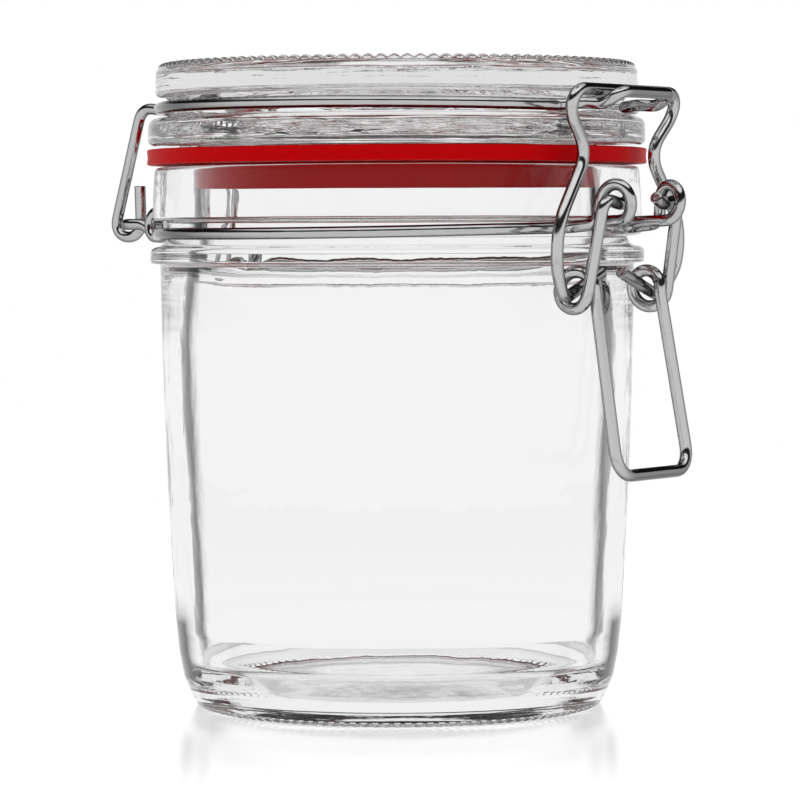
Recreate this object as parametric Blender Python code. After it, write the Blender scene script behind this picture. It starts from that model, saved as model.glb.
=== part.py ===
"""Clip top storage jar, about half a litre: a glass jar and lid, a rubber ring and four bent steel wires.

Metres, +Z up. The clip is at +X, the hinge at -X, and everything is symmetric about the XZ plane.
The origin is on the plane that the jar stands on, midway between the ends of the hinge and the clip,
so the jar's axis stands at AXIS_X. Every x and radius below is measured from the jar's axis.
"""

from math import acos, ceil, cos, pi, radians, sin, tan

import bmesh
import bpy
from mathutils import Vector

AXIS_X = 0.0022

# Glass jar: radii and heights of its outer profile, bottom to top
FOOT_RADIUS = 0.0368
FOOT_LIP_RADIUS = 0.0328
BODY_RADIUS_LOW = 0.0421
BODY_LOW_Z = 0.012
BODY_RADIUS_TOP = 0.0450
SHOULDER_Z = 0.0832
BEAD_RADIUS = 0.0468
BEAD_Z = 0.0853
BEAD_HALF_HEIGHT = 0.0013
NECK_GROOVE_RADIUS = 0.0436
RIM_LOW_Z = 0.0917
RIM_LOW_RADIUS = 0.0465
RIM_RADIUS = 0.0459
RIM_Z = 0.1020
# Glass jar: inside
MOUTH_RADIUS = 0.0385
WALL_RADIUS_TOP = 0.0414
WALL_RADIUS_LOW = 0.0380
NECK_INSIDE_Z = 0.0935
SHOULDER_INSIDE_Z = 0.0800
FLOOR_RADIUS = 0.0325
FLOOR_Z = 0.0042
FLOOR_DOME = 0.0008
PUNT_Z = 0.0010

# Glass lid
FLANGE_RADIUS = 0.0471
FLANGE_LOW_Z = 0.1057
FLANGE_TOP_Z = 0.1111
LID_GROOVE_RADIUS = 0.0430
CAP_RADIUS = 0.0457
CAP_LOW_Z = 0.1151
CAP_TOP_Z = 0.1206
DISH_RADIUS = 0.0405
DISH_DEPTH = 0.0014
PLUG_RADIUS = 0.0374
PLUG_LOW_Z = 0.1008
PLUG_INNER_RADIUS = 0.0335
VAULT_Z = 0.1150

# Knurled rings of small glass beads, round the lid's top edge and the jar's foot
BEADS = 120
LID_BEAD_RADIUS = 0.0440
LID_BEAD_HEIGHT = 0.0007
FOOT_BEAD_RADIUS = 0.0377
FOOT_BEAD_DEPTH = 0.0005
FOOT_BEAD_Z = 0.0011

# Rubber ring
RING_OUTER_RADIUS = 0.0474
RING_INNER_RADIUS = 0.0388
RING_LOW_Z = 0.1023
RING_TOP_Z = 0.1054
RING_HOLLOW = 0.0003

# Wires
HOOP_WIRE = 0.0022
CLIP_WIRE = 0.0023
WIRE_SIDES = 8
COIL_GAP = 0.00015
BEND_STEP = radians(26)
COIL_STEP = radians(38)
HOOP_STEP = radians(10)

LID_HOOP_RADIUS = 0.0449
LID_HOOP_Z = 0.1130
LID_HOOP_RISE = -0.0005
NOSE_HALF_WIDTH = 0.0090
NOSE_REACH = 0.0553
NOSE_BAR_Z = 0.1147
NOSE_LEG_Z = 0.1125
ARM_HALF_WIDTH = 0.0085
ARM_TOP_X = -0.0551
ARM_TOP_Z = 0.1141

NECK_HOOP_RADIUS = 0.0454
NECK_HOOP_Z = 0.0894
NECK_HOOP_RISE = 0.0009
HINGE_X = -0.0585
HINGE_Z = 0.0913
HINGE_HALF_WIDTH = 0.0110
HINGE_COIL_X = -0.0481
HINGE_COIL_RADII = (0.00175, 0.0026)

EYE_X, EYE_Z = 0.0545, 0.0948
EYE_RADII = (0.0028, 0.0033)
EYE_TURNS = 0.75
EYE_OUTER_Y = 0.0104
EYE_INNER_Y = 0.0077

KNEE_X, KNEE_Z = 0.0479, 0.0790
KNEE_RADIUS = 0.0034
KNEE_INNER_Y = 0.0113

LEVER_FOOT_X, LEVER_FOOT_Z = 0.0568, 0.0457
LEVER_FOOT_HALF_WIDTH = 0.0125
LEVER_LINK_Y = KNEE_INNER_Y + CLIP_WIRE + COIL_GAP

BAIL_X, BAIL_Z = 0.0511, 0.1151
BAIL_HALF_WIDTH = 0.0180
WAIST_HALF_WIDTH, WAIST_Z = 0.0107, 0.1039
HIP_HALF_WIDTH, HIP_Z = 0.0214, 0.0905

SEGMENTS = 48


def material(name, color, roughness, metallic=0.0, transmission=0.0):
    made = bpy.data.materials.new(name)
    made.diffuse_color = (*color, 1.0)
    made.use_nodes = True
    shader = made.node_tree.nodes["Principled BSDF"]
    shader.inputs["Base Color"].default_value = (*color, 1.0)
    shader.inputs["Roughness"].default_value = roughness
    shader.inputs["Metallic"].default_value = metallic
    shader.inputs["Transmission Weight"].default_value = transmission
    return made


def arc(center, radius, start, end, steps):
    """Points (r, z) on an arc of a profile, with the angles in degrees from the +r direction."""
    angles = [radians(start + (end - start) * k / steps) for k in range(steps + 1)]
    return [(center[0] + radius * cos(a), center[1] + radius * sin(a)) for a in angles]


def plain_row(point):
    """One row of a turned solid: the same radius and height all the way round."""
    return [point] * SEGMENTS


def bead_row(radius, z, radial, rise):
    """A row of beads: every second point stands out by radial and up by rise."""
    return [(radius + radial * (k % 2), z + rise * (k % 2)) for k in range(2 * BEADS)]


def join_rows(bm, low, high):
    """Faces between two closed rows, one of which may have a whole multiple of the other's points."""
    fine, coarse, flip = (high, low, False) if len(high) >= len(low) else (low, high, True)
    share = len(fine) // len(coarse)
    for k in range(len(fine)):
        ahead, here = (k + 1) % len(fine), k // share
        corners = [fine[ahead], fine[k], coarse[here]]
        if (k + 1) % share == 0:
            corners.append(coarse[(here + 1) % len(coarse)])
        bm.faces.new(corners if flip else corners[::-1])


def join_pole(bm, low, high):
    ring, pole, up = (high, low[0], False) if len(low) == 1 else (low, high[0], True)
    for k in range(len(ring)):
        ahead = ring[(k + 1) % len(ring)]
        bm.faces.new([ring[k], ahead, pole] if up else [ahead, ring[k], pole])


def turned(name, rows, finish, closed_inside=False):
    """A solid of revolution from rows of (r, z), anticlockwise in the r-z plane from the outer side.

    It starts and ends at a pole on the axis, unless closed_inside joins the last row to the first.
    """
    bm = bmesh.new()
    rings = []
    for row in rows:
        if len(row) == 1:
            rings.append([bm.verts.new((0.0, 0.0, row[0][1]))])
            continue
        turn = 2 * pi / len(row)
        ring = [(r * cos(k * turn), r * sin(k * turn), z) for k, (r, z) in enumerate(row)]
        rings.append([bm.verts.new(point) for point in ring])
    pairs = list(zip(rings, rings[1:]))
    if closed_inside:
        pairs.append((rings[-1], rings[0]))
    for low, high in pairs:
        join_rows(bm, low, high) if min(len(low), len(high)) > 1 else join_pole(bm, low, high)
    return finished(bm, name, finish)


def finished(bm, name, finish):
    bmesh.ops.recalc_face_normals(bm, faces=bm.faces)
    if bm.calc_volume(signed=True) < 0:
        bmesh.ops.reverse_faces(bm, faces=bm.faces)
    mesh = bpy.data.meshes.new(name)
    bm.to_mesh(mesh)
    bm.free()
    mesh.materials.append(finish)
    mesh.shade_smooth()
    mesh.set_sharp_from_angle(angle=radians(40))
    made = bpy.data.objects.new(name, mesh)
    made.location.x = AXIS_X
    bpy.context.scene.collection.objects.link(made)
    return made


def bent(route):
    """A wire's centre line. A route is a list of corners and plain points: (x, y, z, bend radius or 0)."""
    points = [Vector(route[0][:3])]
    for before, corner, after in zip(route, route[1:], route[2:]):
        tip, radius = Vector(corner[:3]), corner[3]
        if not radius:
            points.append(tip)
            continue
        back = (Vector(before[:3]) - tip).normalized()
        ahead = (Vector(after[:3]) - tip).normalized()
        half = acos(max(-1.0, min(1.0, back.dot(ahead)))) / 2
        start = tip + back * (radius / tan(half))
        center = tip + (back + ahead).normalized() * (radius / sin(half))
        outward = start - center
        turn = pi - 2 * half
        steps = max(2, ceil(turn / BEND_STEP))
        for k in range(steps + 1):
            angle = turn * k / steps
            points.append(center + outward * cos(angle) - back * (radius * sin(angle)))
    points.append(Vector(route[-1][:3]))
    return points


def hoop(radius, z, rise, start, end):
    """Plain route points round the jar, with the angles in degrees from +X towards +Y.

    The clip draws the hoop up or down by rise at +X, and the rest of the hoop stays level.
    """
    steps = max(1, ceil(abs(radians(end - start)) / HOOP_STEP))
    angles = [radians(start + (end - start) * k / steps) for k in range(steps + 1)]
    heights = [z + rise * ((1 + cos(a)) / 2) ** 4 for a in angles]
    return [(radius * cos(a), radius * sin(a), height, 0) for a, height in zip(angles, heights)]


def coil(x, z, radii, start, turns, first_y, last_y):
    """Plain route points on a coil about an axis along Y, round or oval. Angles run from +X to +Z."""
    steps = max(2, round(abs(turns) * 2 * pi / COIL_STEP))
    points = []
    for k in range(steps + 1):
        share = k / steps
        angle = radians(start) + 2 * pi * turns * share
        y = first_y + (last_y - first_y) * share
        points.append((x + radii[0] * cos(angle), y, z + radii[1] * sin(angle), 0))
    return points


def both_sides(half):
    """A whole wire's centre line from its half at +Y, whose first point is on the plane of symmetry."""
    mirrored = [Vector((p.x, -p.y, p.z)) for p in half[1:]]
    return mirrored[::-1] + half


def wire(name, line, diameter, finish):
    """A round wire along a centre line, as one closed solid with flat cut ends."""
    bm = bmesh.new()
    tangents = [
        (after - before).normalized()
        for before, after in zip([line[0]] + line[:-1], line[1:] + [line[-1]])
    ]
    side = tangents[0].orthogonal().normalized()
    rings = []
    for point, tangent in zip(line, tangents):
        side = (side - tangent * side.dot(tangent)).normalized()
        other = tangent.cross(side)
        ring = []
        for k in range(WIRE_SIDES):
            angle = 2 * pi * k / WIRE_SIDES
            reach = (side * cos(angle) + other * sin(angle)) * (diameter / 2)
            ring.append(bm.verts.new(point + reach))
        rings.append(ring)
    for low, high in zip(rings, rings[1:]):
        for k in range(WIRE_SIDES):
            ahead = (k + 1) % WIRE_SIDES
            bm.faces.new([low[k], low[ahead], high[ahead], high[k]])
    bm.faces.new(rings[0][::-1])
    bm.faces.new(rings[-1])
    return finished(bm, name, finish)


def jar_rows():
    """The jar's profile, from the middle of its floor inside, down the wall's outside and back up."""
    beads = [
        plain_row((FOOT_RADIUS, 0.0)),
        bead_row(FOOT_BEAD_RADIUS, FOOT_BEAD_Z, FOOT_BEAD_DEPTH, -0.0004),
        bead_row(FOOT_BEAD_RADIUS + 0.0009, FOOT_BEAD_Z + 0.0010, FOOT_BEAD_DEPTH, 0.0),
    ]
    heel = [(0.0403, 0.0043), (0.0414, 0.0080)]
    body = [(BODY_RADIUS_LOW, BODY_LOW_Z), (0.0434, 0.036), (0.0443, 0.058)]
    shoulder = [(BODY_RADIUS_TOP, SHOULDER_Z - 0.0006), (BODY_RADIUS_TOP + 0.0003, SHOULDER_Z)]
    bead = arc((BEAD_RADIUS - BEAD_HALF_HEIGHT, BEAD_Z), BEAD_HALF_HEIGHT, -70, 80, 4)
    groove = [(0.0447, 0.0872), (NECK_GROOVE_RADIUS, 0.0884), (NECK_GROOVE_RADIUS, 0.0906)]
    rim = [(0.0450, RIM_LOW_Z), (RIM_LOW_RADIUS, RIM_LOW_Z + 0.0009), (0.0464, 0.0942)]
    rim += [(0.0460, 0.0975), (RIM_RADIUS, RIM_Z - 0.0008), (RIM_RADIUS - 0.0008, RIM_Z)]
    mouth = [(MOUTH_RADIUS + 0.0006, RIM_Z), (MOUTH_RADIUS, RIM_Z - 0.0008)]
    inside = [(MOUTH_RADIUS, NECK_INSIDE_Z), (0.0392, 0.0885), (0.0408, 0.0840)]
    inside += [(WALL_RADIUS_TOP, SHOULDER_INSIDE_Z), (0.0407, 0.058), (0.0397, 0.036)]
    inside += [(0.0385, 0.0140), (0.0375, 0.0092), (0.0355, 0.0060), (FLOOR_RADIUS, FLOOR_Z)]
    inside += [(FLOOR_RADIUS * 0.5, FLOOR_Z + FLOOR_DOME * 0.75)]
    plain = heel + body + shoulder + bead + groove + rim + mouth + inside
    under = [[(0.0, PUNT_Z)], plain_row((0.0305, PUNT_Z)), plain_row((FOOT_LIP_RADIUS, 0.0))]
    return under + beads + [plain_row(p) for p in plain] + [[(0.0, FLOOR_Z + FLOOR_DOME)]]


def lid_rows():
    """The lid's profile, from the middle of its underside out and over its top."""
    vault = [(0.0200, VAULT_Z - 0.0005), (0.0298, VAULT_Z - 0.0022), (0.0327, VAULT_Z - 0.0066)]
    plug = [(PLUG_INNER_RADIUS, PLUG_LOW_Z + 0.0010), (PLUG_INNER_RADIUS + 0.0010, PLUG_LOW_Z)]
    plug += [(PLUG_RADIUS - 0.0008, PLUG_LOW_Z), (PLUG_RADIUS, PLUG_LOW_Z + 0.0010)]
    plug += [(PLUG_RADIUS, FLANGE_LOW_Z)]
    flange = arc((FLANGE_RADIUS - 0.0012, FLANGE_LOW_Z + 0.0012), 0.0012, -90, 0, 2)
    flange += arc((FLANGE_RADIUS - 0.0018, FLANGE_TOP_Z - 0.0018), 0.0018, 0, 90, 3)
    groove = [(0.0436, FLANGE_TOP_Z + 0.0001), (LID_GROOVE_RADIUS, LID_HOOP_Z - 0.0008)]
    groove += [(LID_GROOVE_RADIUS, LID_HOOP_Z + 0.0009), (0.0436, CAP_LOW_Z - 0.0001)]
    cap = arc((CAP_RADIUS - 0.0009, CAP_LOW_Z + 0.0009), 0.0009, -90, 0, 2)
    cap += arc((CAP_RADIUS - 0.0016, CAP_TOP_Z - 0.0016), 0.0016, 0, 75, 3)
    beads = [
        bead_row(LID_BEAD_RADIUS + 0.0004, CAP_TOP_Z + 0.0003, 0.0, LID_BEAD_HEIGHT),
        bead_row(LID_BEAD_RADIUS - 0.0006, CAP_TOP_Z + 0.0003, 0.0, LID_BEAD_HEIGHT),
    ]
    dish = [(DISH_RADIUS + 0.0012, CAP_TOP_Z), (DISH_RADIUS, CAP_TOP_Z - DISH_DEPTH)]
    low = [plain_row(p) for p in vault + plug + flange + groove + cap]
    return [[(0.0, VAULT_Z)]] + low + beads + [plain_row(p) for p in dish] + [[(0.0, dish[-1][1])]]


def ring_rows():
    """The rubber ring's section: square, with its outer face drawn in a little at mid height."""
    middle = (RING_LOW_Z + RING_TOP_Z) / 2
    section = [(RING_INNER_RADIUS, RING_LOW_Z), (RING_OUTER_RADIUS, RING_LOW_Z)]
    section += [(RING_OUTER_RADIUS - RING_HOLLOW, middle), (RING_OUTER_RADIUS, RING_TOP_Z)]
    return [plain_row(p) for p in section + [(RING_INNER_RADIUS, RING_TOP_Z)]]


def lid_wire_line():
    """From the nose that the bail bears on, round the lid, to the hook under the hinge bar."""
    y = NOSE_HALF_WIDTH
    nose = [(NOSE_REACH, 0.0, NOSE_BAR_Z, 0), (NOSE_REACH, y, NOSE_BAR_Z, 0.0019)]
    nose += [(0.0520, y, NOSE_LEG_Z, 0.0025), (0.0476, y + 0.0002, NOSE_LEG_Z + 0.0003, 0.0025)]
    around = hoop(LID_HOOP_RADIUS, LID_HOOP_Z, LID_HOOP_RISE, 14.5, 180 - 14)
    y = ARM_HALF_WIDTH
    low_z = HINGE_Z - HOOP_WIRE - 0.0003
    arm = [(-0.0468, y + 0.0004, LID_HOOP_Z + 0.0002, 0.0022), (ARM_TOP_X, y, ARM_TOP_Z, 0.0028)]
    hook = [(HINGE_X - 0.0040, y, low_z, 0.0026), (HINGE_X + 0.0031, y, low_z, 0.0028)]
    end = [(HINGE_X + 0.0028, y, HINGE_Z + 0.0075, 0)]
    return both_sides(bent(nose + around + arm + hook + end))


def neck_wire_line():
    """From the middle of the hinge bar, round the jar's neck, to the cut end after the eye."""
    leg_y = HINGE_HALF_WIDTH
    coil_y = leg_y + HOOP_WIRE + COIL_GAP
    low_z = HINGE_Z - HINGE_COIL_RADII[1]
    bar = [(HINGE_X, 0.0, HINGE_Z, 0), (HINGE_X, leg_y, HINGE_Z, 0.0024)]
    bar += [(-0.0526, leg_y, HINGE_Z, 0.0030), (HINGE_COIL_X - 0.0018, leg_y, low_z, 0.0018)]
    spring = coil(HINGE_COIL_X, HINGE_Z, HINGE_COIL_RADII, -90, 1, leg_y, coil_y)
    entry = [(-0.0437, coil_y, NECK_HOOP_Z, 0.0020)]
    around = hoop(NECK_HOOP_RADIUS, NECK_HOOP_Z, NECK_HOOP_RISE, 180 - 22, 17.5)
    eye_y = EYE_OUTER_Y
    end_z = NECK_HOOP_Z + NECK_HOOP_RISE
    out = [(0.0445, eye_y, end_z, 0.0020), (EYE_X - EYE_RADII[0] - 0.0001, eye_y, end_z + 0.0006, 0.0019)]
    eye = coil(EYE_X, EYE_Z, EYE_RADII, 180, -EYE_TURNS, eye_y, EYE_INNER_Y)
    tail = [(0.0476, EYE_INNER_Y, EYE_Z - EYE_RADII[1] - 0.0002, 0)]
    return both_sides(bent(bar + spring + entry + around + out + eye + tail))


def lever_line():
    """From the middle of the finger bar, up through the knee coil, to the hook in the eye."""
    foot_y, link_y = LEVER_FOOT_HALF_WIDTH, LEVER_LINK_Y
    bar = [(LEVER_FOOT_X, 0.0, LEVER_FOOT_Z, 0), (LEVER_FOOT_X, foot_y, LEVER_FOOT_Z, 0.0042)]
    radii = (KNEE_RADIUS, KNEE_RADIUS)
    knee = coil(KNEE_X, KNEE_Z, radii, -8, 1 - 8 / 360, KNEE_INNER_Y, link_y)
    link = [(EYE_X - 0.0003, EYE_OUTER_Y + 0.0025, EYE_Z + 0.0007, 0.0018)]
    link += [(EYE_X, EYE_OUTER_Y - 0.0030, EYE_Z - 0.0004, 0.0025)]
    return both_sides(bent(bar + knee + link + [(EYE_X + 0.0001, 0.0042, EYE_Z + 0.0010, 0)]))


def bail_line():
    """From the middle of the bar that holds the lid, down a waisted arm, to the hook in the knee."""
    bar = [(BAIL_X, 0.0, BAIL_Z, 0), (BAIL_X, BAIL_HALF_WIDTH, BAIL_Z, 0.0028)]
    arm = [(0.0500, BAIL_HALF_WIDTH - 0.0006, 0.1106, 0.0050)]
    arm += [(0.0493, WAIST_HALF_WIDTH, WAIST_Z, 0.0045)]
    arm += [(0.0497, HIP_HALF_WIDTH, HIP_Z, 0.0110), (0.0491, 0.0206, 0.0830, 0.0070)]
    hook = [(KNEE_X, 0.0166, 0.0774, 0.0026), (KNEE_X - 0.0002, 0.0034, 0.0821, 0)]
    return both_sides(bent(bar + arm + hook))


def clear_scene():
    for obj in list(bpy.data.objects):
        bpy.data.objects.remove(obj, do_unlink=True)


def main():
    clear_scene()
    glass = material("glass", (0.95, 0.97, 0.97), 0.02, transmission=1.0)
    rubber = material("rubber", (0.52, 0.005, 0.010), 0.45)
    steel = material("steel", (0.55, 0.55, 0.56), 0.28, metallic=1.0)
    turned("jar_body", jar_rows(), glass)
    turned("lid", lid_rows(), glass)
    turned("gasket", ring_rows(), rubber, closed_inside=True)
    wire("lid_wire", lid_wire_line(), HOOP_WIRE, steel)
    wire("neck_wire", neck_wire_line(), HOOP_WIRE, steel)
    wire("lever", lever_line(), CLIP_WIRE, steel)
    wire("bail", bail_line(), CLIP_WIRE, steel)


main()
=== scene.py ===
"""Clip top jar: pressed clear glass jar and lid, red rubber ring, four bent steel wires, white studio."""

from math import acos, ceil, cos, pi, radians, sin, tan

import bpy
import numpy as np
from mathutils import Euler, Matrix, Vector

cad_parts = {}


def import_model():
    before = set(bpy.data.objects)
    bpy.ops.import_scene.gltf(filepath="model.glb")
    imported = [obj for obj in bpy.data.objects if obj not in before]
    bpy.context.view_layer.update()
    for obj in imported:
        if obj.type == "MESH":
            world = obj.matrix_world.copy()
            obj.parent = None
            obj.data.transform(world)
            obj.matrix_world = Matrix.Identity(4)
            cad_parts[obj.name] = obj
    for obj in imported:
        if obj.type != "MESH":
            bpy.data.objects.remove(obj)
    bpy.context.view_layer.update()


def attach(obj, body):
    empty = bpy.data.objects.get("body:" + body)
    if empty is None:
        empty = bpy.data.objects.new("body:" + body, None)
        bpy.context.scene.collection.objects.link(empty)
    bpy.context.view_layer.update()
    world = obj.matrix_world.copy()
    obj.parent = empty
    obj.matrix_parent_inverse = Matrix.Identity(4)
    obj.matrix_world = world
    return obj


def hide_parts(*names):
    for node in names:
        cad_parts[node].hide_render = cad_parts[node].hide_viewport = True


# Metres. Every x and radius is measured from the jar's axis, which stands at AXIS_X in the frame.
AXIS_X = 0.0022

# Knurled rings of small glass beads
BEADS = 120
SEGMENTS = 6 * BEADS

# Wires
HOOP_WIRE = 0.0022
CLIP_WIRE = 0.0023
COIL_GAP = 0.00015
WIRE_SIDES = 24
BEND_STEP = radians(9)
COIL_STEP = radians(12)
HOOP_STEP = radians(3)
WIRE_STEP = 0.00035

LID_HOOP_RADIUS = 0.0449
LID_HOOP_Z = 0.1130
LID_HOOP_RISE = -0.0005
NOSE_HALF_WIDTH = 0.0090
NOSE_REACH = 0.0553
NOSE_BAR_Z = 0.1147
NOSE_LEG_Z = 0.1125
ARM_HALF_WIDTH = 0.0085
ARM_TOP_X = -0.0551
ARM_TOP_Z = 0.1141

NECK_HOOP_RADIUS = 0.0454
NECK_HOOP_Z = 0.0894
NECK_HOOP_RISE = 0.0009
HINGE_X = -0.0585
HINGE_Z = 0.0913
HINGE_HALF_WIDTH = 0.0110
HINGE_COIL_X = -0.0481
HINGE_COIL_RADII = (0.00175, 0.0026)

EYE_X, EYE_Z = 0.0545, 0.0948
EYE_RADII = (0.0027, 0.0033)
EYE_TURNS = 0.75
EYE_OUTER_Y = 0.0104
EYE_INNER_Y = 0.0077

KNEE_X, KNEE_Z = 0.0479, 0.0790
KNEE_RADIUS = 0.0034
KNEE_INNER_Y = 0.0113

LEVER_FOOT_X, LEVER_FOOT_Z = 0.0568, 0.0457
LEVER_FOOT_HALF_WIDTH = 0.0125
LEVER_LINK_Y = KNEE_INNER_Y + CLIP_WIRE + COIL_GAP

BAIL_X, BAIL_Z = 0.0511, 0.1151
BAIL_HALF_WIDTH = 0.0180
WAIST_HALF_WIDTH, WAIST_Z = 0.0107, 0.1039
HIP_HALF_WIDTH, HIP_Z = 0.0214, 0.0905

# Jar profile (r, z, corner radius): from the middle of its underside, up the outside, down the inside
JAR_UNDER = [(0.0, 0.0010, 0), (0.0310, 0.0010, 0.0015), (0.0333, 0.0001, 0.0006)]
JAR_FOOT = [(0.0374, 0.0001, 0.0005), (0.0387, 0.0009, 0.0008), (0.0396, 0.0025, 0.0015)]
JAR_HEEL = [(0.0409, 0.0056, 0.0050), (0.0418, 0.0102, 0.0080), (0.0426, 0.0180, 0.0300)]
JAR_BODY = [(0.0436, 0.0370, 0.0900), (0.0444, 0.0580, 0.0900), (0.0450, 0.0836, 0.0004)]
JAR_BEAD = [(0.0468, 0.0838, 0.0006), (0.0468, 0.0867, 0.0012)]
JAR_NECK = [(0.0446, 0.0872, 0.0008), (0.0436, 0.0885, 0.0008), (0.0436, 0.0917, 0.0004)]
JAR_RIM = [(0.0464, 0.0919, 0.0006), (0.0462, 0.0968, 0.0600)]
JAR_LIP = [(0.0459, 0.1019, 0.0010), (0.0386, 0.1019, 0.0010)]
JAR_MOUTH = [(0.0385, 0.0945, 0.0260), (0.0403, 0.0815, 0.0400)]
JAR_WALL = [(0.0413, 0.0700, 0.0700), (0.0407, 0.0540, 0.0900), (0.0398, 0.0370, 0.0900)]
JAR_FLOOR = [(0.0387, 0.0150, 0.0100), (0.0378, 0.0092, 0.0040), (0.0357, 0.0053, 0.0030)]
JAR_MIDDLE = [(0.0327, 0.0033, 0.0020), (0.0160, 0.0038, 0.0300), (0.0, 0.0040, 0)]

# Lid profile, from the middle of its underside, round the plug, flange, hoop groove and cap
LID_VAULT = [(0.0, 0.1152, 0), (0.0220, 0.1148, 0.0300), (0.0318, 0.1138, 0.0030)]
LID_PLUG = [(0.0332, 0.1075, 0.0060), (0.0337, 0.1009, 0.0008), (0.0373, 0.1009, 0.0009)]
LID_FLANGE = [(0.0374, 0.1058, 0.0006), (0.0471, 0.1058, 0.0012), (0.0470, 0.1111, 0.0019)]
LID_GROOVE = [(0.0437, 0.1112, 0.0005), (0.0430, 0.1121, 0.0007), (0.0430, 0.1140, 0.0007)]
LID_CAP = [(0.0438, 0.1151, 0.0005), (0.0457, 0.1152, 0.0010), (0.0456, 0.1209, 0.0019)]
LID_TOP = [(0.0424, 0.1209, 0.0004), (0.0420, 0.1192, 0.0004), (0.0, 0.1190, 0)]

RING_SECTION = [
    (0.03785, 0.0972, 0.0001), (0.0382, 0.0973, 0.0001), (0.0382, 0.1023, 0.0002), (0.0474, 0.1023, 0.0004),
    (0.04715, 0.1038, 0.0100), (0.0474, 0.1053, 0.0004), (0.03785, 0.1053, 0.0003),
]

# The camera: where it stands round the jar, and what it sees
AZIMUTH = radians(35.0)
DISTANCE = 0.7087
CAMERA_Z = 0.0898
PITCH = radians(2.594)
ROLL = radians(-0.22)
LENS = 167.85
SIDE = 0.0004

# The studio stands in the room, the same all round the jar: a white tent and a soft box above, with
# dark between and over them. In degrees from level: low, high, width of the soft edge, brightness
STUDIO_Z = 0.0577
DOME_RADIUS = 2.6
FLOOR_RADIUS = 0.45
LIGHTS = [(-90, 16.5, 1.0, 0.91), (42, 76, 6, 1.2), (-91, 91, 0.1, 0.02)]

# Where surfaces change as they turn away, in Layer Weight's Facing: from, to. For the glass and the steel
# this is painted shade; for the floor it is the weight of its gloss.
GLASS_SHADE_FACING = (0.60, 0.74)
STEEL_SHADE_FACING = (0.15, 0.65)
FLOOR_EDGE = (0.50, 0.88)
# How dark the steel's painted edge shade gets, as a share of its colour
STEEL_PAINTED_SHADE = 0.2
GLASS_COLOR = (0.992, 0.993, 0.993)

# Where the glass's painted dark lines may fall: the inside wall, from the radius where it begins, and by the
# height part of its normal
INSIDE_RADII = (0.0428, 0.0424)
UPRIGHT = (0.40, 0.20)


def corner_arcs(corners, turn_step):
    """A profile's points (r, z), each corner with a radius drawn as an arc between short straights."""
    points = [np.array(corners[0][:2])]
    for before, corner, after in zip(corners, corners[1:], corners[2:]):
        tip, radius = np.array(corner[:2]), corner[2]
        back, ahead = np.array(before[:2]) - tip, np.array(after[:2]) - tip
        reach = min(np.linalg.norm(back), np.linalg.norm(ahead))
        back, ahead = back / np.linalg.norm(back), ahead / np.linalg.norm(ahead)
        half = acos(max(-1.0, min(1.0, float(back @ ahead)))) / 2
        if pi / 2 - half < 0.004:
            points.append(tip)
            continue
        radius = min(radius, 0.46 * reach * tan(half))
        center = tip + (back + ahead) / np.linalg.norm(back + ahead) * (radius / sin(half))
        outward = tip + back * (radius / tan(half)) - center
        turn = pi - 2 * half
        steps = max(3, ceil(turn / turn_step))
        margin = min(0.0001, 0.02 * reach)
        points.append(center + outward + back * margin)
        for k in range(steps + 1):
            angle = turn * k / steps
            points.append(center + outward * cos(angle) - back * (radius * sin(angle)))
        points.append(points[-1] + ahead * margin)
    points.append(np.array(corners[-1][:2]))
    return points


def with_short_edges(points, longest):
    """The profile with its straights cut up, so that no edge is longer than longest(r, z)."""
    out = [points[0]]
    for a, b in zip(points, points[1:]):
        count = max(1, ceil(np.linalg.norm(b - a) / longest(*((a + b) / 2))))
        out += [a + (b - a) * k / count for k in range(1, count + 1)]
    return np.array(out)


def profile_normals(points):
    ahead = np.vstack([points[1:], points[-1:]]) - np.vstack([points[:1], points[:-1]])
    normals = np.column_stack([ahead[:, 1], -ahead[:, 0]])
    return normals / np.linalg.norm(normals, axis=1)[:, None]


def ripple(turn, along, seed, waves):
    """Smooth unevenness of pressed glass, about -1 to 1, closed round the jar."""
    rng = np.random.default_rng(seed)
    total = np.zeros(np.broadcast_shapes(turn.shape, along.shape))
    for across, length in waves:
        phase = rng.uniform(0, 2 * pi, 3)
        wave = np.sin(across * turn + phase[0] + np.sin(2 * pi * along / length + phase[1]))
        total += wave * np.sin(2 * pi * along / length + phase[2])
    return total / len(waves)


def mesh_object(name, points, faces, finish, uvs=None):
    mesh = bpy.data.meshes.new(name)
    mesh.from_pydata(points.tolist(), [], faces)
    if uvs is not None:
        layer = mesh.uv_layers.new(name="along")
        corners = np.empty(len(mesh.loops), dtype=np.int32)
        mesh.loops.foreach_get("vertex_index", corners)
        layer.data.foreach_set("uv", uvs[corners].ravel())
    mesh.materials.append(finish)
    mesh.shade_smooth()
    made = bpy.data.objects.new(name, mesh)
    bpy.context.scene.collection.objects.link(made)
    return made


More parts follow.
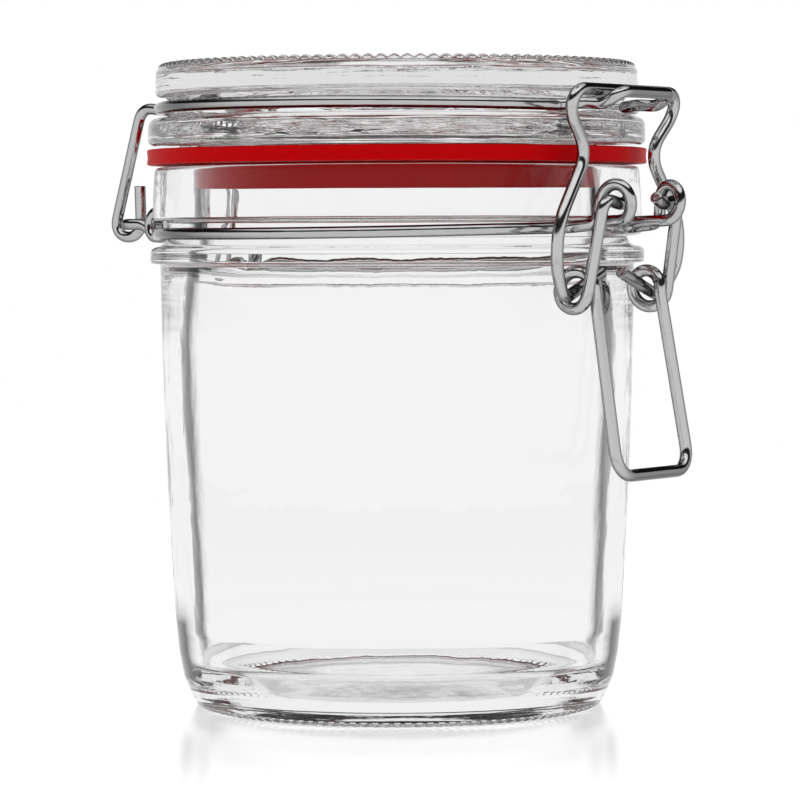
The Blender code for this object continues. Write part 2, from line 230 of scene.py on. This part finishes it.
def turned(name, profile, finish, shift, closed=False):
    """A surface of revolution. shift(turn, points, normals) moves each point along its normal."""
    pole_low, pole_high = profile[0][0] < 1e-9, profile[-1][0] < 1e-9
    rows = profile[1 if pole_low else 0:len(profile) - (1 if pole_high else 0)]
    normals = profile_normals(profile)[1 if pole_low else 0:][:len(rows)]
    turn = np.arange(SEGMENTS)[None, :] * (2 * pi / SEGMENTS)
    move = shift(turn, rows, normals)
    r = rows[:, 0:1] + normals[:, 0:1] * move
    z = rows[:, 1:2] + normals[:, 1:2] * move
    points = np.stack([AXIS_X + r * np.cos(turn), r * np.sin(turn), z + 0 * turn], axis=-1).reshape(-1, 3)
    here = np.arange(SEGMENTS)
    ahead = (here + 1) % SEGMENTS
    count = len(rows)
    faces = []
    for k in range(count if closed else count - 1):
        low, high = k * SEGMENTS, ((k + 1) % count) * SEGMENTS
        faces += np.column_stack([low + here, low + ahead, high + ahead, high + here]).tolist()
    if pole_low:
        faces += np.column_stack([ahead, here, np.full(SEGMENTS, len(points))]).tolist()
        points = np.vstack([points, [AXIS_X, 0, profile[0][1]]])
    if pole_high:
        low = (count - 1) * SEGMENTS
        faces += np.column_stack([low + here, low + ahead, np.full(SEGMENTS, len(points))]).tolist()
        points = np.vstack([points, [AXIS_X, 0, profile[-1][1]]])
    return mesh_object(name, points, faces, finish)


def beads_at(turn, rows, center, reach, height):
    """Rounded beads in a row round the jar, within reach of one point of the profile."""
    away = np.hypot(rows[:, 0] - center[0], rows[:, 1] - center[1])[:, None]
    swell = np.sqrt(np.clip(1 - (away / reach) ** 2, 0, 1))
    return height * swell * np.abs(np.sin(turn * BEADS / 2))


def along_profile(rows):
    steps = np.hypot(*np.diff(rows, axis=0).T)
    return np.concatenate([[0], np.cumsum(steps)])[:, None]


def bent(route):
    """A wire's centre line. A route is a list of corners and plain points: (x, y, z, bend radius or 0)."""
    points = [Vector(route[0][:3])]
    for before, corner, after in zip(route, route[1:], route[2:]):
        tip, radius = Vector(corner[:3]), corner[3]
        if not radius:
            points.append(tip)
            continue
        back = (Vector(before[:3]) - tip).normalized()
        ahead = (Vector(after[:3]) - tip).normalized()
        half = acos(max(-1.0, min(1.0, back.dot(ahead)))) / 2
        start = tip + back * (radius / tan(half))
        center = tip + (back + ahead).normalized() * (radius / sin(half))
        outward = start - center
        turn = pi - 2 * half
        steps = max(2, ceil(turn / BEND_STEP))
        for k in range(steps + 1):
            angle = turn * k / steps
            points.append(center + outward * cos(angle) - back * (radius * sin(angle)))
    points.append(Vector(route[-1][:3]))
    return points


def hoop(radius, z, rise, start, end):
    """Plain route points round the jar; the clip draws the hoop up or down by rise at +X."""
    steps = max(1, ceil(abs(radians(end - start)) / HOOP_STEP))
    angles = [radians(start + (end - start) * k / steps) for k in range(steps + 1)]
    heights = [z + rise * ((1 + cos(a)) / 2) ** 4 for a in angles]
    return [(radius * cos(a), radius * sin(a), height, 0) for a, height in zip(angles, heights)]


def coil(x, z, radii, start, turns, first_y, last_y):
    """Plain route points on a coil about an axis along Y. Angles run from +X to +Z."""
    steps = max(2, round(abs(turns) * 2 * pi / COIL_STEP))
    points = []
    for k in range(steps + 1):
        share = k / steps
        angle = radians(start) + 2 * pi * turns * share
        y = first_y + (last_y - first_y) * share
        points.append((x + radii[0] * cos(angle), y, z + radii[1] * sin(angle), 0))
    return points


def lid_wire_line():
    y = NOSE_HALF_WIDTH
    nose = [(NOSE_REACH, 0.0, NOSE_BAR_Z, 0), (NOSE_REACH, y, NOSE_BAR_Z, 0.0019)]
    nose += [(0.0520, y, NOSE_LEG_Z, 0.0025), (0.0476, y + 0.0002, NOSE_LEG_Z + 0.0003, 0.0025)]
    around = hoop(LID_HOOP_RADIUS, LID_HOOP_Z, LID_HOOP_RISE, 14.5, 180 - 14)
    y = ARM_HALF_WIDTH
    low_z = HINGE_Z - HOOP_WIRE - 0.0003
    arm = [(-0.0468, y + 0.0004, LID_HOOP_Z + 0.0002, 0.0022), (ARM_TOP_X, y, ARM_TOP_Z, 0.0028)]
    hook = [(HINGE_X - 0.0040, y, low_z, 0.0026), (HINGE_X + 0.0031, y, low_z, 0.0028)]
    return bent(nose + around + arm + hook + [(HINGE_X + 0.0028, y, HINGE_Z + 0.0075, 0)])


def neck_wire_line():
    leg_y = HINGE_HALF_WIDTH
    coil_y = leg_y + HOOP_WIRE + COIL_GAP
    low_z = HINGE_Z - HINGE_COIL_RADII[1]
    bar = [(HINGE_X, 0.0, HINGE_Z, 0), (HINGE_X, leg_y, HINGE_Z, 0.0024)]
    bar += [(-0.0526, leg_y, HINGE_Z, 0.0030), (HINGE_COIL_X - 0.0018, leg_y, low_z, 0.0018)]
    spring = coil(HINGE_COIL_X, HINGE_Z, HINGE_COIL_RADII, -90, 1, leg_y, coil_y)
    entry = [(-0.0437, coil_y, NECK_HOOP_Z, 0.0020)]
    around = hoop(NECK_HOOP_RADIUS, NECK_HOOP_Z, NECK_HOOP_RISE, 180 - 22, 17.5)
    y, end_z = EYE_OUTER_Y, NECK_HOOP_Z + NECK_HOOP_RISE
    out = [(0.0445, y, end_z, 0.0020), (EYE_X - EYE_RADII[0] - 0.0001, y, end_z + 0.0006, 0.0019)]
    eye = coil(EYE_X, EYE_Z, EYE_RADII, 180, -EYE_TURNS, y, EYE_INNER_Y)
    tail = [(0.0476, EYE_INNER_Y, EYE_Z - EYE_RADII[1] - 0.0002, 0)]
    return bent(bar + spring + entry + around + out + eye + tail)


def lever_line():
    foot_y, link_y = LEVER_FOOT_HALF_WIDTH, LEVER_LINK_Y
    bar = [(LEVER_FOOT_X, 0.0, LEVER_FOOT_Z, 0), (LEVER_FOOT_X, foot_y, LEVER_FOOT_Z, 0.0042)]
    radii = (KNEE_RADIUS, KNEE_RADIUS)
    knee = coil(KNEE_X, KNEE_Z, radii, -8, 1 - 8 / 360, KNEE_INNER_Y, link_y)
    link = [(EYE_X - 0.0003, EYE_OUTER_Y + 0.0025, EYE_Z + 0.0007, 0.0018)]
    link += [(EYE_X, EYE_OUTER_Y - 0.0030, EYE_Z - 0.0004, 0.0025)]
    return bent(bar + knee + link + [(EYE_X + 0.0001, 0.0042, EYE_Z + 0.0010, 0)])


def bail_line():
    bar = [(BAIL_X, 0.0, BAIL_Z, 0), (BAIL_X, BAIL_HALF_WIDTH, BAIL_Z, 0.0028)]
    arm = [(0.0500, BAIL_HALF_WIDTH - 0.0006, 0.1106, 0.0050)]
    arm += [(0.0493, WAIST_HALF_WIDTH, WAIST_Z, 0.0045)]
    arm += [(0.0497, HIP_HALF_WIDTH, HIP_Z, 0.0110), (0.0491, 0.0206, 0.0830, 0.0070)]
    hook = [(KNEE_X, 0.0166, 0.0774, 0.0026), (KNEE_X - 0.0002, 0.0034, 0.0821, 0)]
    return bent(bar + arm + hook)


def eased(half):
    """The whole wire from its half at +Y: evenly spaced points, every kink eased as drawn wire bends."""
    half = np.array([tuple(p) for p in half])
    line = np.vstack([half[:0:-1] * (1, -1, 1), half])
    steps = np.hypot(*np.diff(line, axis=0)[:, :2].T)
    steps = np.hypot(steps, np.diff(line[:, 2]))
    reach = np.concatenate([[0], np.cumsum(steps)])
    count = ceil(reach[-1] / WIRE_STEP)
    at = np.linspace(0, reach[-1], count)
    line = np.column_stack([np.interp(at, reach, line[:, k]) for k in range(3)])
    for _ in range(6):
        line[1:-1] = line[1:-1] / 2 + (line[:-2] + line[2:]) / 4
    return line


def wire(name, half, diameter, finish):
    """A round wire with its two ends cut off square and slightly burred."""
    line = eased(half)
    ahead = np.vstack([line[1:], line[-1:]]) - np.vstack([line[:1], line[:-1]])
    ahead /= np.linalg.norm(ahead, axis=1)[:, None]
    side = np.cross(ahead[0], (0.3, 0.2, 0.93))
    radii = np.full(len(line), diameter / 2)
    angles = np.arange(WIRE_SIDES) * (2 * pi / WIRE_SIDES)
    rings = []
    for k, (point, tangent) in enumerate(zip(line, ahead)):
        side = side - tangent * (side @ tangent)
        side /= np.linalg.norm(side)
        other = np.cross(tangent, side)
        rings.append(point + radii[k] * (np.outer(np.cos(angles), side) + np.outer(np.sin(angles), other)))
    reach = np.arange(len(line)) * WIRE_STEP
    uvs = [np.column_stack([np.full(WIRE_SIDES, u), angles / (2 * pi)]) for u in reach]
    for end, inward in ((0, 1), (-1, -1)):
        center, edge = line[end], rings[end]
        lip = center + (edge - center) * 0.86
        dent = center + (edge - center) * 0.45 + ahead[end] * (0.00006 * inward)
        edge += ahead[end] * (0.00012 * inward)
        rings = [dent, lip] + rings if inward == 1 else rings + [lip, dent]
        pad = [uvs[end]] * 2
        uvs = pad + uvs if inward == 1 else uvs + pad
    points = np.vstack(rings + [line[0] + ahead[0] * 0.00006, line[-1] - ahead[-1] * 0.00006])
    points[:, 0] += AXIS_X
    here = np.arange(WIRE_SIDES)
    turn = (here + 1) % WIRE_SIDES
    faces = []
    for k in range(len(rings) - 1):
        low, high = k * WIRE_SIDES, (k + 1) * WIRE_SIDES
        faces += np.column_stack([low + here, low + turn, high + turn, high + here]).tolist()
    last = (len(rings) - 1) * WIRE_SIDES
    faces += np.column_stack([turn, here, np.full(WIRE_SIDES, len(points) - 2)]).tolist()
    faces += np.column_stack([last + here, last + turn, np.full(WIRE_SIDES, len(points) - 1)]).tolist()
    uvs = np.vstack(uvs + [[[0.0, 0.5]], [[reach[-1], 0.5]]])
    made = mesh_object(name, points, faces, finish, uvs)
    made.data.set_sharp_from_angle(angle=radians(50))
    return made


def new_material(name, color, roughness, metallic=0.0):
    made = bpy.data.materials.new(name)
    made.diffuse_color = (*color, 1.0)
    made.use_nodes = True
    shader = made.node_tree.nodes["Principled BSDF"]
    shader.inputs["Base Color"].default_value = (*color, 1.0)
    shader.inputs["Roughness"].default_value = roughness
    shader.inputs["Metallic"].default_value = metallic
    return made, made.node_tree, shader


def add_node(tree, kind, **values):
    """A node with its properties, or its input sockets by name, set."""
    node = tree.nodes.new(kind)
    for key, value in values.items():
        if key in node.bl_rna.properties:
            setattr(node, key, value)
        else:
            node.inputs[key.replace("_", " ")].default_value = value
    return node


def ramp_node(tree, source, start, end):
    """From 0 at start to 1 at end, whichever of the two is the greater."""
    ramp = add_node(tree, "ShaderNodeMapRange", interpolation_type="SMOOTHSTEP")
    flip = start > end
    ramp.inputs["From Min"].default_value = min(start, end)
    ramp.inputs["From Max"].default_value = max(start, end)
    ramp.inputs["To Min"].default_value = 1.0 if flip else 0.0
    ramp.inputs["To Max"].default_value = 0.0 if flip else 1.0
    tree.links.new(source, ramp.inputs["Value"])
    return ramp.outputs["Result"]


def product_node(tree, first, second):
    product = add_node(tree, "ShaderNodeMath", operation="MULTIPLY")
    for socket, factor in zip(product.inputs, (first, second)):
        if isinstance(factor, float):
            socket.default_value = factor
        else:
            tree.links.new(factor, socket)
    return product.outputs[0]


def noise_bump(tree, shader, coordinates, stretch, scale, detail, distance, strength):
    """Fine surface relief from stretched noise."""
    mapping = add_node(tree, "ShaderNodeMapping")
    mapping.inputs["Scale"].default_value = stretch
    noise = add_node(tree, "ShaderNodeTexNoise", Scale=scale, Detail=detail)
    bump = add_node(tree, "ShaderNodeBump", Distance=distance, Strength=strength)
    tree.links.new(coordinates, mapping.inputs["Vector"])
    tree.links.new(mapping.outputs["Vector"], noise.inputs["Vector"])
    tree.links.new(noise.outputs["Fac"], bump.inputs["Height"])
    tree.links.new(bump.outputs["Normal"], shader.inputs["Normal"])
    return noise


def glass_material(name, stretch, scale, distance, density):
    """Clear glass, with painted shade: its colour goes to black where the upright inside walls turn away,
    painting the dark lines of a thick wall's edge.
    """
    made, tree, shader = new_material(name, GLASS_COLOR, 0.0)
    shader.inputs["Transmission Weight"].default_value = 1.0
    shader.inputs["IOR"].default_value = 1.5
    shader.inputs["Specular Tint"].default_value = (0.2, 0.2, 0.2, 1)
    place = add_node(tree, "ShaderNodeTexCoord")
    noise_bump(tree, shader, place.outputs["Object"], stretch, scale, 3.0, distance, 1.0)
    shade = add_node(tree, "ShaderNodeVolumeAbsorption", Color=(0, 0, 0, 1), Density=density)
    tree.links.new(shade.outputs[0], tree.nodes["Material Output"].inputs["Volume"])
    # Painted shade: Base Color runs from GLASS_COLOR to black on the upright inside walls where they turn
    # from view, drawing dark lines in place of reflected dark surroundings.
    across = add_node(tree, "ShaderNodeVectorMath", operation="MULTIPLY_ADD")
    across.inputs[1].default_value = (1, 1, 0)
    across.inputs[2].default_value = (-AXIS_X, 0, 0)
    radius = add_node(tree, "ShaderNodeVectorMath", operation="LENGTH")
    facing = add_node(tree, "ShaderNodeLayerWeight", Blend=0.5)
    tint = add_node(tree, "ShaderNodeMix", data_type="RGBA")
    tint.inputs[6].default_value = (*GLASS_COLOR, 1)
    tint.inputs[7].default_value = (0.0, 0.0, 0.0, 1)
    tree.links.new(place.outputs["Object"], across.inputs[0])
    tree.links.new(across.outputs["Vector"], radius.inputs[0])
    inside = ramp_node(tree, radius.outputs["Value"], *INSIDE_RADII)
    edge = ramp_node(tree, facing.outputs["Facing"], *GLASS_SHADE_FACING)
    tilt = add_node(tree, "ShaderNodeSeparateXYZ")
    level = add_node(tree, "ShaderNodeMath", operation="ABSOLUTE")
    tree.links.new(place.outputs["Normal"], tilt.inputs[0])
    tree.links.new(tilt.outputs["Z"], level.inputs[0])
    upright = ramp_node(tree, level.outputs[0], *UPRIGHT)
    tree.links.new(product_node(tree, product_node(tree, inside, edge), upright), tint.inputs[0])
    tree.links.new(tint.outputs[2], shader.inputs["Base Color"])
    return made


def rubber_material():
    made, tree, shader = new_material("red_rubber", (0.41, 0.001, 0.002), 0.42)
    shader.inputs["Specular IOR Level"].default_value = 0.02
    place = add_node(tree, "ShaderNodeTexCoord")
    noise = noise_bump(tree, shader, place.outputs["Object"], (1, 1, 1), 900.0, 4.0, 0.00004, 0.5)
    tint = add_node(tree, "ShaderNodeValToRGB")
    tint.color_ramp.elements[0].color = (0.37, 0.0006, 0.0015, 1)
    tint.color_ramp.elements[1].color = (0.46, 0.001, 0.0025, 1)
    tree.links.new(noise.outputs["Fac"], tint.inputs["Fac"])
    # Painted light: between z 0.1023 and 0.1016 m and below it, the ring's lower inner lip gets a lighter
    # red, for light that would reach it through the glass from below.
    parts = add_node(tree, "ShaderNodeSeparateXYZ")
    lip = add_node(tree, "ShaderNodeMapRange")
    lip.inputs["From Min"].default_value = 0.1023
    lip.inputs["From Max"].default_value = 0.1016
    lip_painted_light = add_node(tree, "ShaderNodeMix", data_type="RGBA")
    lip_painted_light.inputs[7].default_value = (0.58, 0.004, 0.006, 1)
    tree.links.new(place.outputs["Object"], parts.inputs[0])
    tree.links.new(parts.outputs["Z"], lip.inputs["Value"])
    tree.links.new(lip.outputs["Result"], lip_painted_light.inputs[0])
    tree.links.new(tint.outputs["Color"], lip_painted_light.inputs[6])
    tree.links.new(lip_painted_light.outputs[2], shader.inputs["Base Color"])
    return made


def steel_material(name, color, roughness):
    """Drawn wire: fine lines along its length, dull and bright stretches, and painted shade that darkens its
    colour where it turns away.
    """
    made, tree, shader = new_material(name, color, roughness, metallic=1.0)
    place = add_node(tree, "ShaderNodeTexCoord")
    lines = noise_bump(tree, shader, place.outputs["UV"], (60, 14, 1), 5.0, 4.0, 0.00002, 0.35)
    spread = add_node(tree, "ShaderNodeMapRange")
    spread.inputs["To Min"].default_value = roughness * 0.7
    spread.inputs["To Max"].default_value = roughness * 1.5
    tree.links.new(lines.outputs["Fac"], spread.inputs["Value"])
    tree.links.new(spread.outputs["Result"], shader.inputs["Roughness"])
    # Painted shade: the colour darkens towards a fifth of itself where the wire turns from view, standing in
    # for dark reflections along its edges.
    facing = add_node(tree, "ShaderNodeLayerWeight", Blend=0.5)
    shade = add_node(tree, "ShaderNodeMix", data_type="RGBA")
    shade.inputs[6].default_value = (*color, 1)
    shade.inputs[7].default_value = (*[part * STEEL_PAINTED_SHADE for part in color], 1)
    tree.links.new(ramp_node(tree, facing.outputs["Facing"], *STEEL_SHADE_FACING), shade.inputs[0])
    tree.links.new(shade.outputs[2], shader.inputs["Base Color"])
    return made


def studio_dome():
    """A great sphere that shines at some heights all round. It is seen only in and through the pieces."""
    bpy.ops.mesh.primitive_uv_sphere_add(segments=96, ring_count=48, radius=DOME_RADIUS)
    dome = bpy.context.object
    dome.name = "studio_dome"
    dome.location = (AXIS_X, 0, STUDIO_Z)
    made = bpy.data.materials.new("studio_light")
    made.use_nodes = True
    tree = made.node_tree
    tree.nodes.clear()
    place = add_node(tree, "ShaderNodeTexCoord")
    parts = add_node(tree, "ShaderNodeSeparateXYZ")
    share = add_node(tree, "ShaderNodeMath", operation="DIVIDE")
    share.inputs[1].default_value = DOME_RADIUS
    height = add_node(tree, "ShaderNodeMath", operation="ARCSINE")
    glow = add_node(tree, "ShaderNodeEmission")
    out = add_node(tree, "ShaderNodeOutputMaterial")
    tree.links.new(place.outputs["Object"], parts.inputs[0])
    tree.links.new(parts.outputs["Z"], share.inputs[0])
    tree.links.new(share.outputs[0], height.inputs[0])
    total = None
    for light in LIGHTS:
        band = light_band(tree, height.outputs[0], *light)
        if total is None:
            total = band
            continue
        add = add_node(tree, "ShaderNodeMath", operation="ADD")
        tree.links.new(total, add.inputs[0])
        tree.links.new(band, add.inputs[1])
        total = add.outputs[0]
    tree.links.new(total, glow.inputs["Color"])
    tree.links.new(glow.outputs["Emission"], out.inputs["Surface"])
    made.cycles.emission_sampling = "NONE"
    dome.data.materials.append(made)
    dome.visible_camera = False
    dome.visible_diffuse = False
    dome.visible_shadow = False


def light_band(tree, height, low, high, edge, power):
    """One soft-edged band of light between two heights, in degrees from level."""
    rise = ramp_node(tree, height, radians(low), radians(low + edge))
    fall = ramp_node(tree, height, radians(high + edge), radians(high))
    return product_node(tree, product_node(tree, rise, fall), power)


def gloss_floor(name, z, glow_strength, gloss_weight, gloss_color, roughness, fade):
    """A white floor, glowing seen from above and glossy seen edge-on; the gloss fades with distance."""
    bpy.ops.mesh.primitive_circle_add(vertices=128, radius=FLOOR_RADIUS, fill_type="NGON", location=(0, 0, z))
    floor = bpy.context.object
    floor.name = name
    made = bpy.data.materials.new(name)
    made.use_nodes = True
    tree = made.node_tree
    tree.nodes.clear()
    glow = add_node(tree, "ShaderNodeEmission", Strength=glow_strength)
    shine = add_node(tree, "ShaderNodeBsdfGlossy", Color=(*[gloss_color] * 3, 1), Roughness=roughness)
    facing = add_node(tree, "ShaderNodeLayerWeight", Blend=0.5)
    mix = add_node(tree, "ShaderNodeMixShader")
    out = add_node(tree, "ShaderNodeOutputMaterial")
    place = add_node(tree, "ShaderNodeTexCoord")
    reach = add_node(tree, "ShaderNodeVectorMath", operation="LENGTH")
    tree.links.new(place.outputs["Object"], reach.inputs[0])
    edge_on = product_node(tree, ramp_node(tree, facing.outputs["Facing"], *FLOOR_EDGE), gloss_weight)
    near = ramp_node(tree, reach.outputs["Value"], fade[1], fade[0])
    tree.links.new(product_node(tree, edge_on, near), mix.inputs[0])
    tree.links.new(glow.outputs[0], mix.inputs[1])
    tree.links.new(shine.outputs[0], mix.inputs[2])
    tree.links.new(mix.outputs[0], out.inputs["Surface"])
    made.cycles.emission_sampling = "NONE"
    floor.data.materials.append(made)
    return floor


def studio_floor():
    """White acrylic, as it is seen itself, and fully glossy as the glass and the wires see it."""
    seen = gloss_floor("studio_floor", 0.0, 1.17, 0.5, 0.97, 0.17, (0.06, 0.16))
    seen.visible_glossy = seen.visible_transmission = False
    mirrored = gloss_floor("studio_floor_mirror", -0.0001, 0.9, 1.0, 1.0, 0.03, (0.15, 0.45))
    mirrored.visible_camera = mirrored.visible_diffuse = False


def studio_camera():
    data = bpy.data.cameras.new("camera")
    data.lens, data.sensor_width = LENS, 36.0
    data.clip_start, data.clip_end = 0.05, 20.0
    camera = bpy.data.objects.new("camera", data)
    bpy.context.scene.collection.objects.link(camera)
    look = Vector((-sin(AZIMUTH), cos(AZIMUTH), 0))
    right = Vector((cos(AZIMUTH), sin(AZIMUTH), 0))
    camera.location = Vector((AXIS_X, 0, CAMERA_Z)) - look * DISTANCE + right * SIDE
    turn = Euler((pi / 2 - PITCH, 0, AZIMUTH)).to_matrix() @ Matrix.Rotation(ROLL, 3, "Z")
    camera.rotation_euler = turn.to_euler()
    bpy.context.scene.camera = camera
    bpy.context.view_layer.update()


def studio():
    studio_camera()
    studio_dome()
    studio_floor()
    world = bpy.data.worlds.new("studio")
    world.use_nodes = True
    world.node_tree.nodes["Background"].inputs["Color"].default_value = (1, 1, 1, 1)
    world.node_tree.nodes["Background"].inputs["Strength"].default_value = 1.0
    scene = bpy.context.scene
    scene.world = world
    scene.view_settings.view_transform = "Standard"
    scene.cycles.max_bounces = 32
    scene.cycles.transmission_bounces = 32
    scene.cycles.glossy_bounces = 16


def make_jar(finish):
    corners = JAR_UNDER + JAR_FOOT + JAR_HEEL + JAR_BODY + JAR_BEAD + JAR_NECK
    corners += JAR_RIM + JAR_LIP + JAR_MOUTH + JAR_WALL + JAR_FLOOR + JAR_MIDDLE
    foot = (0.0381, 0.0004)

    def longest(r, z):
        return 0.00022 if abs(r - foot[0]) < 0.0016 and z < 0.0032 else 0.0025

    profile = with_short_edges(corner_arcs(corners, radians(9)), longest)

    def shift(turn, rows, normals):
        along = along_profile(rows)
        waves = ripple(turn, along, 3, [(3, 0.05), (5, 0.031), (8, 0.02), (13, 0.013), (21, 0.008)])
        calm = np.where(rows[:, 1:2] < 0.0040, 0.0, np.where(rows[:, 1:2] > 0.0830, 0.000024, 0.000016))
        return waves * calm - 0.00004 + beads_at(turn, rows, foot, 0.0008, 0.00024)

    return turned("jar_glass", profile, finish, shift)


def make_lid(finish):
    corners = LID_VAULT + LID_PLUG + LID_FLANGE + LID_GROOVE + LID_CAP + LID_TOP
    crown = (0.0439, 0.1209)

    def longest(r, z):
        return 0.00022 if abs(r - crown[0]) < 0.0016 and z > 0.1195 else 0.0015

    profile = with_short_edges(corner_arcs(corners, radians(9)), longest)

    def shift(turn, rows, normals):
        along = along_profile(rows)
        waves = ripple(turn, along, 7, [(2, 0.03), (5, 0.017), (9, 0.011), (14, 0.007), (23, 0.005)])
        r, z = rows[:, 0:1], rows[:, 1:2]
        web = (r < 0.0420) & (z > 0.1100)
        rings = np.sin(r * (2 * pi / 0.0063)) + np.sin(r * (2 * pi / 0.0038) + 1.0)
        even = np.where(web, rings * 0.00006, 0.0) + waves * np.where(web, 0.00012, 0.00003)
        return even - 0.00006 + beads_at(turn, rows, crown, 0.0012, 0.00060)

    return turned("lid_glass", profile, finish, shift)


def make_ring(finish):
    profile = with_short_edges(corner_arcs(RING_SECTION + RING_SECTION[:1], radians(12)), lambda r, z: 0.001)
    profile = profile[1:-1]

    def shift(turn, rows, normals):
        return ripple(turn, along_profile(rows), 11, [(2, 0.02), (3, 0.02), (5, 0.012)]) * 0.00005 - 0.00006

    return turned("rubber_ring", profile, finish, shift, closed=True)


def main():
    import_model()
    studio()
    body_glass = glass_material("jar_glass", (1, 1, 0.4), 130.0, 0.00006, 2.0)
    lid_glass = glass_material("lid_glass", (0.3, 0.3, 4.0), 90.0, 0.00020, 2.6)
    rubber = rubber_material()
    hoop_steel = steel_material("hoop_steel", (0.54, 0.54, 0.545), 0.11)
    clip_steel = steel_material("clip_steel", (0.57, 0.57, 0.575), 0.12)
    pieces = [
        (make_jar(body_glass), "jar", "jar_body", "glass"),
        (make_lid(lid_glass), "lid", "lid", "glass"),
        (make_ring(rubber), "lid", "gasket", "rubber"),
        (wire("lid_steel", lid_wire_line(), HOOP_WIRE, hoop_steel), "lid", "lid_wire", "steel"),
        (wire("neck_steel", neck_wire_line(), HOOP_WIRE, hoop_steel), "jar", "neck_wire", "steel"),
        (wire("lever_steel", lever_line(), CLIP_WIRE, clip_steel), "lever", "lever", "steel"),
        (wire("bail_steel", bail_line(), CLIP_WIRE, clip_steel), "bail", "bail", "steel"),
    ]
    for piece, body, node, slot in pieces:
        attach(piece, body)
        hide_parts(node)
    bpy.context.view_layer.update()


main()
